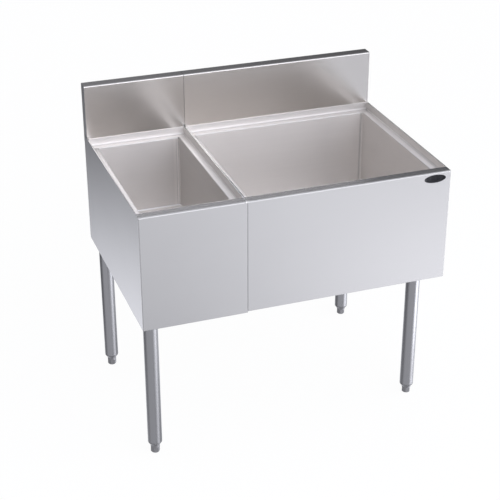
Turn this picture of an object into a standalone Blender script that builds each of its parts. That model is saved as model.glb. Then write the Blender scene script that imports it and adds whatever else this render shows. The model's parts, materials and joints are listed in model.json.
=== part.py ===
"""Underbar ice station: a bottle well module and an ice bin module on four legs.

Lengths are metres. X runs from left to right, Y from front to back and Z up from the floor.
The origin is on the floor, midway between the ends and between the front and the back.
Each module is modelled from its own front left rim corner: X right, Y back, Z up from the rim.
"""
import math

import bmesh
import bpy
from mathutils import Matrix, Vector

# Overall sizes
OVERALL_WIDTH = 0.9144
OVERALL_DEPTH = 0.6096
RIM_HEIGHT = 0.770
WELL_MODULE_WIDTH = 0.3048
MODULE_GAP = 0.0008

# Sheet metal
SHEET = 0.0015
GAP = 0.0003
OVERRUN = 0.002
BEND = 0.0015
BEND_SEGMENTS = 3
CORNER_SEGMENTS = 4
LEAST_RADIUS = 0.001
EDGE_BREAK = 0.0004

# Apron and rim
WELL_SKIRT = 0.0292
BIN_SKIRT = 0.0252
RIM_DEPTH = 0.0318
RIM_BEND = 0.002
HEM_HEIGHT = 0.012
HEM_GAP = 0.001

# Backsplash
SPLASH_HEIGHT = 0.1651
SPLASH_DEPTH = 0.0381
SPLASH_LAP = 0.019

# Basins
LEDGE_DROP = 0.0235
SIDE_LEDGE = 0.0254
FRONT_LEDGE = 0.0216
REAR_LEDGE = 0.0216
LEDGE_BEND = 0.005
MOUTH_BEND = 0.003
BASIN_CORNER = 0.008
FLOOR_BEND = 0.004
WELL_FLOOR_DEPTH = 0.2515
BIN_FLOOR_DEPTH = 0.286
FLOOR_PITCH = 0.005

# Bottom pan
FOAM_BELOW = 0.022
PAN_FLANGE = 0.025

# Drains
DRAIN_BODY_RADIUS = 0.0167
DRAIN_WALL = 0.0033
DRAIN_FLANGE_RADIUS = 0.027
DRAIN_FLANGE_HEIGHT = 0.003
DRAIN_LAND = 0.004
DRAIN_THREAD_DROP = 0.022
GASKET_HEIGHT = 0.0015
STRAINER_HEIGHT = 0.0012
STRAINER_LIP = 0.004
STRAINER_HOLE_RADIUS = 0.0018
STRAINER_HOLES = 6
LOCKNUT_RADIUS = 0.028
LOCKNUT_HEIGHT = 0.008
TAIL_WALL = 0.0016
TAIL_DROP = 0.045
TAIL_SEAT = 0.012

# Legs
LEG_RADIUS = 0.02064
LEG_WALL = 0.0016
WELL_LEG_INSET = 0.0284
BIN_LEG_INSET = 0.0635
WELL_FRONT_LEG_INSET = 0.0284
WELL_REAR_LEG_INSET = 0.0762
BIN_FRONT_LEG_INSET = 0.0660
BIN_REAR_LEG_INSET = 0.0292
SOCKET_WALL = 0.0026
SOCKET_HEIGHT = 0.0255
SOCKET_PLATE = 0.003
SOCKET_OUTER_REACH = 0.024
SOCKET_INNER_REACH = 0.050
SET_SCREW_RADIUS = 0.003
SET_SCREW_PROUD = 0.0015
SET_SCREW_DRIVE = 0.0016
SET_SCREW_DRIVE_DEPTH = 0.002

# Feet
WELL_FOOT_EXPOSED = 0.0262
BIN_FOOT_EXPOSED = 0.0216
NOSE_HEIGHT = 0.0115
NOSE_LIP = 0.0006
NOSE_SHOULDER = 0.004
INSERT_HEIGHT = 0.045
FOOT_RADIUS = 0.0135
FOOT_HEX_HEIGHT = 0.018
FOOT_CHAMFER = 0.003
FOOT_HEX_SHARE = 0.88
FOOT_NECK_TOP = 0.048
FOOT_BORE_DEPTH = 0.031
STEM_RADIUS = 0.006
STEM_LENGTH = 0.034

# Bolts that join the two modules
BOLT_RADIUS = 0.003
BOLT_HEAD_RADIUS = 0.0057
BOLT_HEAD_HEIGHT = 0.004
BOLT_TAIL = 0.003
BOLT_SETBACK_SHARES = (0.14, 0.86)

# Round pieces
ROUND_SEGMENTS = 24
HOLE_SEGMENTS = 10
LOOP_POINTS = 4 * (CORNER_SEGMENTS + 1)
HEX_SIDES = 6
HEX_POINTS = 24
SCREW_POINTS = 12

# Places worked out from the sizes above
BIN_MODULE_WIDTH = OVERALL_WIDTH - WELL_MODULE_WIDTH
SPLASH_FACE = OVERALL_DEPTH - SPLASH_DEPTH
REAR_FACE = OVERALL_DEPTH - SHEET - GAP
SKIN = SHEET + GAP
BORE_RADIUS = DRAIN_BODY_RADIUS - DRAIN_WALL
PAN_DEPTH = max(WELL_FLOOR_DEPTH, BIN_FLOOR_DEPTH) + FLOOR_PITCH + 2 * SHEET + FOAM_BELOW
WELL_APRON_HEIGHT = PAN_DEPTH + WELL_SKIRT
BIN_APRON_HEIGHT = PAN_DEPTH + BIN_SKIRT


def clear_scene():
    """Remove every object that the scene starts with."""
    for old in list(bpy.data.objects):
        bpy.data.objects.remove(old, do_unlink=True)


def make_material(name, colour, roughness, metallic):
    """One plain surface finish."""
    material = bpy.data.materials.new(name)
    material.use_nodes = True
    shader = material.node_tree.nodes["Principled BSDF"]
    shader.inputs["Base Color"].default_value = (*colour, 1.0)
    shader.inputs["Roughness"].default_value = roughness
    shader.inputs["Metallic"].default_value = metallic
    return material


def make_empty(name, place):
    """A point that carries other pieces."""
    empty = bpy.data.objects.new(name, None)
    empty.location = place
    bpy.context.scene.collection.objects.link(empty)
    return empty


def make_mesh(name, bm):
    """Close a bmesh into a mesh whose faces point outward, round where it is round."""
    bmesh.ops.remove_doubles(bm, verts=bm.verts, dist=GAP * GAP)
    bmesh.ops.recalc_face_normals(bm, faces=bm.faces)
    mesh = bpy.data.meshes.new(name)
    bm.to_mesh(mesh)
    bm.free()
    mesh.shade_smooth()
    mesh.set_sharp_from_angle(angle=math.radians(30))
    return mesh


def place(name, mesh, material, parent, location=(0, 0, 0), rotation=(0, 0, 0)):
    """Stand a mesh on its carrier as a named piece."""
    piece = bpy.data.objects.new(name, mesh)
    if not mesh.materials:
        mesh.materials.append(material)
    piece.parent = parent
    piece.location = location
    piece.rotation_euler = rotation
    bpy.context.scene.collection.objects.link(piece)
    return piece


def place_cutter(name, mesh, parent, location=(0, 0, 0)):
    """A shape that only cuts other pieces."""
    cutter = bpy.data.objects.new(name, mesh)
    cutter.parent = parent
    cutter.location = location
    cutter.hide_render = True
    cutter.display_type = "WIRE"
    bpy.context.scene.collection.objects.link(cutter)
    return cutter


def add_boolean(piece, other, operation):
    """Cut, join or intersect a piece with another shape."""
    modifier = piece.modifiers.new(operation.title(), "BOOLEAN")
    modifier.operation = operation
    modifier.solver = "EXACT"
    modifier.object = other


def sheet_outline(path, inner_bend, side):
    """Closed outline of a folded sheet whose face follows path.

    side is 1 where the metal lies to the left of the path and -1 where it lies to the right.
    """
    points = [Vector(point) for point in path]
    near = []
    far = []
    for index, point in enumerate(points):
        ahead = (points[min(index + 1, len(points) - 1)] - point)
        behind = (point - points[max(index - 1, 0)])
        if index in (0, len(points) - 1):
            run = (ahead if index == 0 else behind).normalized()
            near.append(point)
            far.append(point + Vector((-run.y, run.x)) * side * SHEET)
            continue
        run_in = behind.normalized()
        run_out = ahead.normalized()
        hand = math.copysign(1.0, run_in.x * run_out.y - run_in.y * run_out.x)
        angle = run_in.angle(run_out)
        folds_inward = hand * side > 0
        near_radius = inner_bend + SHEET if folds_inward else inner_bend
        far_radius = inner_bend if folds_inward else inner_bend + SHEET
        start = point - run_in * near_radius * math.tan(angle / 2)
        centre = start + Vector((-run_in.y, run_in.x)) * hand * near_radius
        spoke = (start - centre).normalized()
        for step in range(BEND_SEGMENTS + 1):
            turned_spoke = spoke.copy()
            turned_spoke.rotate(Matrix.Rotation(hand * angle * step / BEND_SEGMENTS, 2))
            near.append(centre + turned_spoke * near_radius)
            far.append(centre + turned_spoke * far_radius)
    return near + far[::-1]


def rounded_outline(corners):
    """Closed outline from (u, v, radius) corners given anticlockwise."""
    outline = []
    count = len(corners)
    for index, (u, v, radius) in enumerate(corners):
        point = Vector((u, v))
        if radius == 0:
            outline.append(point)
            continue
        before = Vector(corners[index - 1][:2])
        after = Vector(corners[(index + 1) % count][:2])
        run_in = (point - before).normalized()
        run_out = (after - point).normalized()
        hand = math.copysign(1.0, run_in.x * run_out.y - run_in.y * run_out.x)
        angle = run_in.angle(run_out)
        start = point - run_in * radius * math.tan(angle / 2)
        centre = start + Vector((-run_in.y, run_in.x)) * hand * radius
        spoke = start - centre
        for step in range(BEND_SEGMENTS + 1):
            turned_spoke = spoke.copy()
            turned_spoke.rotate(Matrix.Rotation(hand * angle * step / BEND_SEGMENTS, 2))
            outline.append(centre + turned_spoke)
    return outline


def add_extrusion(bm, outline, axis, start, end):
    """Extrude an outline along X (outline in Y, Z), Y (outline in X, Z) or Z (outline in X, Y)."""
    order = {"X": (2, 0, 1), "Y": (0, 2, 1), "Z": (0, 1, 2)}[axis]
    verts = []
    for point in outline:
        values = (point[0], point[1], start)
        verts.append(bm.verts.new([values[index] for index in order]))
    face = bm.faces.new(verts)
    grown = bmesh.ops.extrude_face_region(bm, geom=[face])
    moved = [item for item in grown["geom"] if isinstance(item, bmesh.types.BMVert)]
    shift = Vector((0, 0, 0))
    shift["XYZ".index(axis)] = end - start
    bmesh.ops.translate(bm, verts=moved, vec=shift)


def extruded(name, outline, axis, start, end):
    """One extruded outline as a mesh."""
    bm = bmesh.new()
    add_extrusion(bm, outline, axis, start, end)
    return make_mesh(name, bm)


def boxes(name, spans):
    """One mesh of separate boxes, each from a low corner to a high corner."""
    bm = bmesh.new()
    for low, high in spans:
        low = Vector(low)
        high = Vector(high)
        size = high - low
        matrix = Matrix.Translation((low + high) / 2) @ Matrix.Diagonal((*size, 1.0))
        bmesh.ops.create_cube(bm, size=1.0, matrix=matrix)
    return make_mesh(name, bm)


def turned(name, profile, closed=True):
    """Turn a profile of (radius, height) points about Z."""
    bm = bmesh.new()
    verts = [bm.verts.new((radius, 0, height)) for radius, height in profile]
    edges = [bm.edges.new(pair) for pair in zip(verts, verts[1:])]
    if closed:
        edges.append(bm.edges.new((verts[-1], verts[0])))
    bmesh.ops.spin(
        bm, geom=edges, cent=(0, 0, 0), axis=(0, 0, 1), angle=2 * math.pi,
        steps=ROUND_SEGMENTS, use_merge=True)
    return make_mesh(name, bm)


def rods(name, radius, spans, axis):
    """One mesh of separate round rods along an axis, each given by its two end points."""
    bm = bmesh.new()
    turn = {"X": Matrix.Rotation(math.pi / 2, 4, "Y"), "Z": Matrix.Identity(4)}[axis]
    for start, end in spans:
        start = Vector(start)
        end = Vector(end)
        bmesh.ops.create_cone(
            bm, cap_ends=True, segments=HOLE_SEGMENTS, radius1=radius, radius2=radius,
            depth=(end - start).length, matrix=Matrix.Translation((start + end) / 2) @ turn)
    return make_mesh(name, bm)


def rectangle_loop(span, radius, height):
    """Points of a level rectangle with round corners; span is (x0, x1, y0, y1)."""
    x0, x1, y0, y1 = span
    radius = max(radius, LEAST_RADIUS)
    centres = (
        (x1 - radius, y1 - radius), (x0 + radius, y1 - radius),
        (x0 + radius, y0 + radius), (x1 - radius, y0 + radius))
    points = []
    for quarter, (x, y) in enumerate(centres):
        for step in range(CORNER_SEGMENTS + 1):
            angle = math.pi / 2 * (quarter + step / CORNER_SEGMENTS)
            points.append((x + radius * math.cos(angle), y + radius * math.sin(angle), height))
    return points


def circle_loop(centre, radius, height, count=LOOP_POINTS):
    """Points of a level circle, matched one to one with a rectangle loop."""
    points = []
    spread = 2 * math.pi / count
    first = math.pi / 4 - spread * CORNER_SEGMENTS / 2
    for index in range(count):
        angle = first + spread * index
        points.append((centre[0] + radius * math.cos(angle), centre[1] + radius * math.sin(angle), height))
    return points


def hexagon_loop(radius, height, count=HEX_POINTS):
    """Points along a level hexagon with flats that face front and back."""
    corners = []
    for index in range(HEX_SIDES):
        angle = 2 * math.pi * index / HEX_SIDES
        corners.append(Vector((radius * math.cos(angle), radius * math.sin(angle), height)))
    per_side = count // HEX_SIDES
    points = []
    for index, corner in enumerate(corners):
        following = corners[(index + 1) % HEX_SIDES]
        for step in range(per_side):
            points.append(corner.lerp(following, step / per_side))
    return points


def ring_loop(radius, height, count=HEX_POINTS):
    """Points of a level circle, matched one to one with a hexagon loop."""
    points = []
    for index in range(count):
        angle = 2 * math.pi * index / count
        points.append((radius * math.cos(angle), radius * math.sin(angle), height))
    return points


def lofted(name, loops, closed=True):
    """Extrude the first loop into each following one, back to the start or capped at both ends."""
    bm = bmesh.new()
    verts = [bm.verts.new(point) for point in loops[0]]
    edges = [bm.edges.new((verts[index - 1], verts[index])) for index in range(len(verts))]
    if not closed:
        bm.faces.new(verts)
    following = loops[1:] + loops[:1] if closed else loops[1:]
    for points in following:
        grown = bmesh.ops.extrude_edge_only(bm, edges=edges)["geom"]
        edges = [item for item in grown if isinstance(item, bmesh.types.BMEdge)]
        fresh = {item for item in grown if isinstance(item, bmesh.types.BMVert)}
        raised = []
        for vert, point in zip(verts, points):
            risers = [edge.other_vert(vert) for edge in vert.link_edges]
            top = next(other for other in risers if other in fresh)
            top.co = point
            raised.append(top)
        verts = raised
    if not closed:
        bm.faces.new(verts)
    return make_mesh(name, bm)


def grow(span, amount):
    """Move every side of a span outward."""
    x0, x1, y0, y1 = span
    return (x0 - amount, x1 + amount, y0 - amount, y1 + amount)


def quarter_turn():
    """Sine and cosine pairs through a quarter of a circle."""
    steps = range(BEND_SEGMENTS + 1)
    angles = [math.pi / 2 * step / BEND_SEGMENTS for step in steps]
    return [(math.sin(angle), math.cos(angle)) for angle in angles]


class Module:
    """Sizes of one module, in its own frame."""

    def __init__(self, name, left, width, apron_height, floor_depth, end_side):
        self.name = name
        self.width = width
        self.apron_height = apron_height
        self.floor_depth = floor_depth
        self.end_side = end_side
        self.origin = make_empty(name + "_module", (left, -OVERALL_DEPTH / 2, RIM_HEIGHT))
        self.inner = (SKIN, width - SKIN)
        self.liner_span = (SKIN, width - SKIN, RIM_DEPTH + GAP, SPLASH_FACE - GAP)
        self.mouth = (
            SIDE_LEDGE, width - SIDE_LEDGE,
            RIM_DEPTH + FRONT_LEDGE, SPLASH_FACE - REAR_LEDGE)
        self.drain = (width / 2, (self.mouth[2] + self.mouth[3]) / 2)
        self.land_depth = floor_depth + FLOOR_PITCH

    def side_name(self, side):
        """Name of the panel at a side: the outer end or the side against the other module."""
        kind = "end_panel" if side == self.end_side else "divider_panel"
        return self.name + "_" + kind


def build_apron(module, material):
    """Front sheet with a hemmed foot, a flat rim on top and a short turn down behind it."""
    bottom = -module.apron_height
    hem = 2 * SHEET + HEM_GAP
    lower = sheet_outline(
        [(hem, bottom + HEM_HEIGHT), (hem, bottom), (0, bottom), (0, bottom + 2 * HEM_HEIGHT)],
        HEM_GAP / 2, -1)
    upper = sheet_outline(
        [(0, bottom + 2 * HEM_HEIGHT), (0, 0), (RIM_DEPTH, 0), (RIM_DEPTH, GAP - LEDGE_DROP)],
        RIM_BEND, -1)
    half = len(lower) // 2
    outline = lower[:half - 1] + upper[1:-1] + lower[half + 1:]
    mesh = extruded(module.name + "_apron", outline, "X", 0, module.width)
    apron = place(module.name + "_apron", mesh, material, module.origin)
    under = -LEDGE_DROP - OVERRUN
    turn_down = [(-OVERRUN, under), (SKIN, under), (SKIN, -SHEET), (-OVERRUN, -SHEET)]
    hem_end = [
        (-OVERRUN, bottom - OVERRUN), (SKIN, bottom - OVERRUN),
        (SKIN, bottom + HEM_HEIGHT + OVERRUN), (-OVERRUN, bottom + HEM_HEIGHT + OVERRUN)]
    trims = bmesh.new()
    for mirror in (False, True):
        for outline, start, stop in (
                (turn_down, RIM_DEPTH - SHEET - RIM_BEND, RIM_DEPTH + OVERRUN),
                (hem_end, SHEET, hem + OVERRUN)):
            shape = [(module.width - x if mirror else x, z) for x, z in outline]
            add_extrusion(trims, shape, "Y", start, stop)
    name = module.name + "_apron_trims"
    add_boolean(apron, place_cutter(name, make_mesh(name, trims), module.origin), "DIFFERENCE")


def build_side_panel(module, side, material):
    """Side sheet, stepped down where the apron's rim lies over it; an outer end has a hemmed foot."""
    bottom = -module.apron_height
    hem = 2 * SHEET + HEM_GAP
    name = module.side_name(side)
    if side == module.end_side:
        outline = sheet_outline(
            [(hem, bottom + HEM_HEIGHT), (hem, bottom), (0, bottom), (0, 0)], HEM_GAP / 2, -1)
    else:
        outline = [(0, bottom), (SHEET, bottom), (SHEET, 0), (0, 0)]
    if side == "right":
        outline = [(module.width - x, z) for x, z in outline]
    mesh = extruded(name, outline, "Y", SKIN, REAR_FACE)
    panel = place(name, mesh, material, module.origin)
    step = RIM_DEPTH + GAP
    under = -SKIN
    rim_step = rounded_outline([
        (SKIN - OVERRUN, under - 2 * RIM_BEND, 0), (SKIN, under - 2 * RIM_BEND, 0),
        (SKIN, under, RIM_BEND), (step, under, 0), (step, OVERRUN, 0), (SKIN - OVERRUN, OVERRUN, 0)])
    hem_top = bottom + HEM_HEIGHT + OVERRUN
    hem_notch = [
        (SHEET, bottom - OVERRUN), (hem + OVERRUN, bottom - OVERRUN),
        (hem + OVERRUN, hem_top), (SHEET, hem_top)]
    if side == "right":
        hem_notch = [(module.width - x, z) for x, z in hem_notch]
    trims = bmesh.new()
    add_extrusion(trims, rim_step, "X", -OVERRUN, module.width + OVERRUN)
    if side == module.end_side:
        add_extrusion(trims, hem_notch, "Y", SKIN - OVERRUN, hem + GAP)
        add_extrusion(trims, hem_notch, "Y", REAR_FACE - SKIN, REAR_FACE + OVERRUN)
    trims = make_mesh(name + "_trims", trims)
    add_boolean(panel, place_cutter(name + "_trims", trims, module.origin), "DIFFERENCE")
    return panel


def build_rear_panel(module, material):
    """Back sheet between the side sheets, folded forward under the backsplash."""
    outline = sheet_outline(
        [(REAR_FACE, -module.apron_height), (REAR_FACE, -GAP), (SPLASH_FACE + SKIN, -GAP)], BEND, 1)
    name = module.name + "_rear_panel"
    mesh = extruded(name, outline, "X", *module.inner)
    place(name, mesh, material, module.origin)


def build_backsplash(module, material):
    """Folded splash: front face, flat top and a back that laps over the rear panel."""
    outline = sheet_outline(
        [(SPLASH_FACE, -LEDGE_DROP), (SPLASH_FACE, SPLASH_HEIGHT),
         (OVERALL_DEPTH, SPLASH_HEIGHT), (OVERALL_DEPTH, -SPLASH_LAP)], BEND, -1)
    name = module.name + "_backsplash"
    mesh = extruded(name, outline, "X", 0, module.width)
    splash = place(name, mesh, material, module.origin)
    spans = []
    for low_x, high_x in ((-OVERRUN, SKIN), (module.width - SKIN, module.width + OVERRUN)):
        spans.append((
            (low_x, SPLASH_FACE - OVERRUN, -LEDGE_DROP - OVERRUN),
            (high_x, SPLASH_FACE + SHEET + OVERRUN, GAP)))
    trims = boxes(name + "_trims", spans)
    add_boolean(splash, place_cutter(name + "_trims", trims, module.origin), "DIFFERENCE")


def build_splash_cap(module, material):
    """Plate that closes the outer end of the backsplash."""
    outline = rounded_outline([
        (SPLASH_FACE + SKIN, GAP, 0), (OVERALL_DEPTH - SKIN, GAP, 0),
        (OVERALL_DEPTH - SKIN, SPLASH_HEIGHT - SKIN, BEND),
        (SPLASH_FACE + SKIN, SPLASH_HEIGHT - SKIN, BEND)])
    left = 0 if module.end_side == "left" else module.width - SHEET
    name = module.name + "_splash_end_cap"
    mesh = extruded(name, outline, "X", left, left + SHEET)
    place(name, mesh, material, module.origin)


def build_pan(module, material):
    """Bottom tray with upturned flanges and a hole for the drain."""
    span = (*module.inner, SKIN, REAR_FACE - SKIN)
    under = -PAN_DEPTH
    outer = BEND + SHEET
    hole = DRAIN_BODY_RADIUS + GAP
    loops = [circle_loop(module.drain, hole, under)]
    for sine, cosine in quarter_turn():
        inset = outer * (1 - sine)
        loops.append(rectangle_loop(grow(span, -inset), outer - inset, under + outer * (1 - cosine)))
    loops.append(rectangle_loop(span, outer, under + PAN_FLANGE))
    loops.append(rectangle_loop(grow(span, -SHEET), outer - SHEET, under + PAN_FLANGE))
    for sine, cosine in reversed(quarter_turn()):
        inset = outer - BEND * sine
        loops.append(rectangle_loop(grow(span, -inset), outer - inset, under + outer - BEND * cosine))
    loops.append(circle_loop(module.drain, hole, under + SHEET))
    name = module.name + "_bottom_pan"
    place(name, lofted(name, loops), material, module.origin)


def liner_face_loops(module):
    """Wet face of the basin, from the top edge in to the drain hole."""
    rim = module.liner_span
    mouth = module.mouth
    ledge = -LEDGE_DROP
    floor = -module.floor_depth
    loops = [
        rectangle_loop(grow(rim, EDGE_BREAK - SHEET), BEND, 0),
        rectangle_loop(grow(rim, -SHEET), BEND, -EDGE_BREAK)]
    for sine, cosine in quarter_turn():
        inset = SHEET + LEDGE_BEND * (1 - cosine)
        loops.append(rectangle_loop(grow(rim, -inset), BEND, ledge + LEDGE_BEND * (1 - sine)))
    for sine, cosine in quarter_turn():
        outset = MOUTH_BEND * (1 - sine)
        drop = MOUTH_BEND * (1 - cosine)
        loops.append(rectangle_loop(grow(mouth, outset), BASIN_CORNER + outset, ledge - drop))
    for sine, cosine in quarter_turn():
        inset = FLOOR_BEND * (1 - cosine)
        rise = FLOOR_BEND * (1 - sine)
        loops.append(rectangle_loop(grow(mouth, -inset), BASIN_CORNER - inset, floor + rise))
    land = DRAIN_FLANGE_RADIUS + DRAIN_LAND
    loops.append(circle_loop(module.drain, land, -module.land_depth))
    loops.append(circle_loop(module.drain, DRAIN_BODY_RADIUS + GAP, -module.land_depth))
    return loops


def liner_back_loops(module):
    """Dry face of the basin, from the drain hole out to the top edge."""
    rim = module.liner_span
    mouth = module.mouth
    ledge = -LEDGE_DROP
    floor = -module.floor_depth
    under = -module.land_depth - SHEET
    loops = [
        circle_loop(module.drain, DRAIN_BODY_RADIUS + GAP, under),
        circle_loop(module.drain, DRAIN_FLANGE_RADIUS + DRAIN_LAND, under)]
    for sine, cosine in reversed(quarter_turn()):
        inset = FLOOR_BEND - (FLOOR_BEND + SHEET) * cosine
        height = floor + FLOOR_BEND - (FLOOR_BEND + SHEET) * sine
        loops.append(rectangle_loop(grow(mouth, -inset), BASIN_CORNER - inset, height))
    for sine, cosine in reversed(quarter_turn()):
        outset = MOUTH_BEND - (MOUTH_BEND - SHEET) * sine
        height = ledge - MOUTH_BEND + (MOUTH_BEND - SHEET) * cosine
        loops.append(rectangle_loop(grow(mouth, outset), BASIN_CORNER + outset, height))
    for sine, cosine in reversed(quarter_turn()):
        inset = SHEET + LEDGE_BEND - (LEDGE_BEND + SHEET) * cosine
        height = ledge + LEDGE_BEND - (LEDGE_BEND + SHEET) * sine
        loops.append(rectangle_loop(grow(rim, -inset), BEND + SHEET - inset, height))
    loops.append(rectangle_loop(rim, BEND + SHEET, -EDGE_BREAK))
    loops.append(rectangle_loop(grow(rim, -EDGE_BREAK), BEND + SHEET, 0))
    return loops


def build_liner(module, material):
    """Welded basin: upturned rim, level ledge, walls with round corners and a pitched floor."""
    name = module.name + "_liner"
    mesh = lofted(name, liner_face_loops(module) + liner_back_loops(module))
    liner = place(name, mesh, material, module.origin)
    front = RIM_DEPTH + GAP
    relief = boxes(name + "_rim_relief", [(
        (-OVERRUN, front - OVERRUN, -SHEET - RIM_BEND), (module.width + OVERRUN, front + SKIN, OVERRUN))])
    add_boolean(liner, place_cutter(name + "_rim_relief", relief, module.origin), "DIFFERENCE")


def build_insulation(module, material):
    """Foam block that fills the space between the basin and the outer sheets."""
    span = (2 * SKIN, module.width - 2 * SKIN, 2 * SKIN, REAR_FACE - 2 * SKIN)
    top = -LEDGE_DROP - SKIN
    bottom = -PAN_DEPTH + SKIN
    cavity = grow(module.mouth, SKIN)
    relief = MOUTH_BEND - SHEET
    land = DRAIN_FLANGE_RADIUS + DRAIN_LAND
    passage = DRAIN_BODY_RADIUS + GAP
    loops = [
        circle_loop(module.drain, passage, bottom),
        rectangle_loop(grow(span, -BEND), LEAST_RADIUS, bottom),
        rectangle_loop(span, BEND, bottom + BEND),
        rectangle_loop(span, BEND, top),
        rectangle_loop(grow(cavity, relief), BASIN_CORNER + relief, top),
        rectangle_loop(cavity, BASIN_CORNER, top - relief),
        rectangle_loop(cavity, BASIN_CORNER, -module.floor_depth - SKIN),
        circle_loop(module.drain, land, -module.land_depth - SKIN),
        circle_loop(module.drain, passage, -module.land_depth - SKIN)]
    name = module.name + "_insulation"
    place(name, lofted(name, loops), material, module.origin)


def build_drain(module, metal, rubber):
    """Flanged drain with its gasket, strainer, locknut and tailpiece."""
    where = (*module.drain, 0)
    seat = -module.land_depth + GAP
    flange = seat + GASKET_HEIGHT + GAP
    top = flange + DRAIN_FLANGE_HEIGHT
    recess = top - STRAINER_HEIGHT - GAP
    recess_radius = BORE_RADIUS + STRAINER_LIP
    foot = -PAN_DEPTH - DRAIN_THREAD_DROP
    name = module.name + "_drain_body"
    mesh = turned(name, [
        (BORE_RADIUS, foot), (DRAIN_BODY_RADIUS, foot), (DRAIN_BODY_RADIUS, flange),
        (DRAIN_FLANGE_RADIUS, flange), (DRAIN_FLANGE_RADIUS, top - EDGE_BREAK),
        (DRAIN_FLANGE_RADIUS - DRAIN_FLANGE_HEIGHT, top), (recess_radius, top),
        (recess_radius, recess), (BORE_RADIUS, recess)])
    place(name, mesh, metal, module.origin, where)
    name = module.name + "_drain_gasket"
    mesh = turned(name, [
        (DRAIN_BODY_RADIUS + GAP, seat), (DRAIN_FLANGE_RADIUS, seat),
        (DRAIN_FLANGE_RADIUS, seat + GASKET_HEIGHT), (DRAIN_BODY_RADIUS + GAP, seat + GASKET_HEIGHT)])
    place(name, mesh, rubber, module.origin, where)
    name = module.name + "_drain_strainer"
    disc = recess_radius - GAP
    mesh = turned(name, [
        (0, recess + GAP), (disc, recess + GAP), (disc, top), (0, top)], closed=False)
    strainer = place(name, mesh, metal, module.origin, where)
    reach = (BORE_RADIUS - STRAINER_HOLE_RADIUS) * 2 / 3
    spots = [(0, 0)]
    for index in range(STRAINER_HOLES):
        angle = 2 * math.pi * index / STRAINER_HOLES
        spots.append((reach * math.cos(angle), reach * math.sin(angle)))
    spans = [((x, y, recess - OVERRUN), (x, y, top + OVERRUN)) for x, y in spots]
    holes = rods(name + "_holes", STRAINER_HOLE_RADIUS, spans, "Z")
    add_boolean(strainer, place_cutter(name + "_holes", holes, module.origin, where), "DIFFERENCE")
    name = module.name + "_drain_locknut"
    under = -PAN_DEPTH - GAP
    inside = DRAIN_BODY_RADIUS + GAP
    mesh = lofted(name, [
        hexagon_loop(LOCKNUT_RADIUS, under), hexagon_loop(LOCKNUT_RADIUS, under - LOCKNUT_HEIGHT),
        ring_loop(inside, under - LOCKNUT_HEIGHT), ring_loop(inside, under)])
    place(name, mesh, metal, module.origin, where)
    name = module.name + "_drain_tailpiece"
    outside = BORE_RADIUS - GAP
    mesh = turned(name, [
        (outside - TAIL_WALL, foot + TAIL_SEAT), (outside - TAIL_WALL, foot - TAIL_DROP),
        (outside, foot - TAIL_DROP), (outside, foot + TAIL_SEAT)])
    place(name, mesh, metal, module.origin, where)


def build_module(module, steel, foam, metal, rubber):
    """All the pieces of one module."""
    build_apron(module, steel)
    panels = {side: build_side_panel(module, side, steel) for side in ("left", "right")}
    build_rear_panel(module, steel)
    build_backsplash(module, steel)
    build_splash_cap(module, steel)
    build_pan(module, steel)
    build_liner(module, steel)
    build_insulation(module, foam)
    build_drain(module, metal, rubber)
    return panels["right" if module.end_side == "left" else "left"]


def bolt_mesh(grip):
    """Hexagon head bolt along Z, with the joined sheets centred on Z = 0."""
    tail = grip + BOLT_HEAD_HEIGHT + BOLT_TAIL
    return lofted("module_bolt", [
        hexagon_loop(BOLT_HEAD_RADIUS, -grip - BOLT_HEAD_HEIGHT, SCREW_POINTS),
        hexagon_loop(BOLT_HEAD_RADIUS, -grip, SCREW_POINTS),
        ring_loop(BOLT_RADIUS, -grip, SCREW_POINTS),
        ring_loop(BOLT_RADIUS, tail - EDGE_BREAK, SCREW_POINTS),
        ring_loop(BOLT_RADIUS - EDGE_BREAK, tail, SCREW_POINTS)], closed=False)


def nut_mesh(grip):
    """Hexagon nut on the far side of the joined sheets."""
    bore = BOLT_RADIUS + GAP
    top = grip + BOLT_HEAD_HEIGHT
    return lofted("module_nut", [
        hexagon_loop(BOLT_HEAD_RADIUS, grip, SCREW_POINTS),
        hexagon_loop(BOLT_HEAD_RADIUS, top, SCREW_POINTS),
        ring_loop(bore, top, SCREW_POINTS), ring_loop(bore, grip, SCREW_POINTS)])


def build_module_bolts(well_divider, bin_divider, metal):
    """Bolts and nuts through the two divider sheets, in the skirt under the bottom pans."""
    skirt = (PAN_DEPTH + BIN_APRON_HEIGHT) / 2
    height = RIM_HEIGHT - skirt
    centre_x = WELL_MODULE_WIDTH - OVERALL_WIDTH / 2
    half_pack = MODULE_GAP / 2 + SHEET
    grip = half_pack + GAP
    reach = half_pack + OVERRUN
    along_x = (0, math.pi / 2, 0)
    bolt = bolt_mesh(grip)
    nut = nut_mesh(grip)
    spots = []
    for where, share in zip(("front", "rear"), BOLT_SETBACK_SHARES):
        spot = (centre_x, (share - 1 / 2) * OVERALL_DEPTH, height)
        place("module_bolt_" + where, bolt, metal, None, spot, along_x)
        place("module_nut_" + where, nut, metal, None, spot, along_x)
        spots.append(spot)
    spans = [((x - reach, y, z), (x + reach, y, z)) for x, y, z in spots]
    holes = rods("module_bolt_holes", BOLT_RADIUS + GAP, spans, "X")
    cutter = place_cutter("module_bolt_holes", holes, None)
    add_boolean(well_divider, cutter, "DIFFERENCE")
    add_boolean(bin_divider, cutter, "DIFFERENCE")


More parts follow.
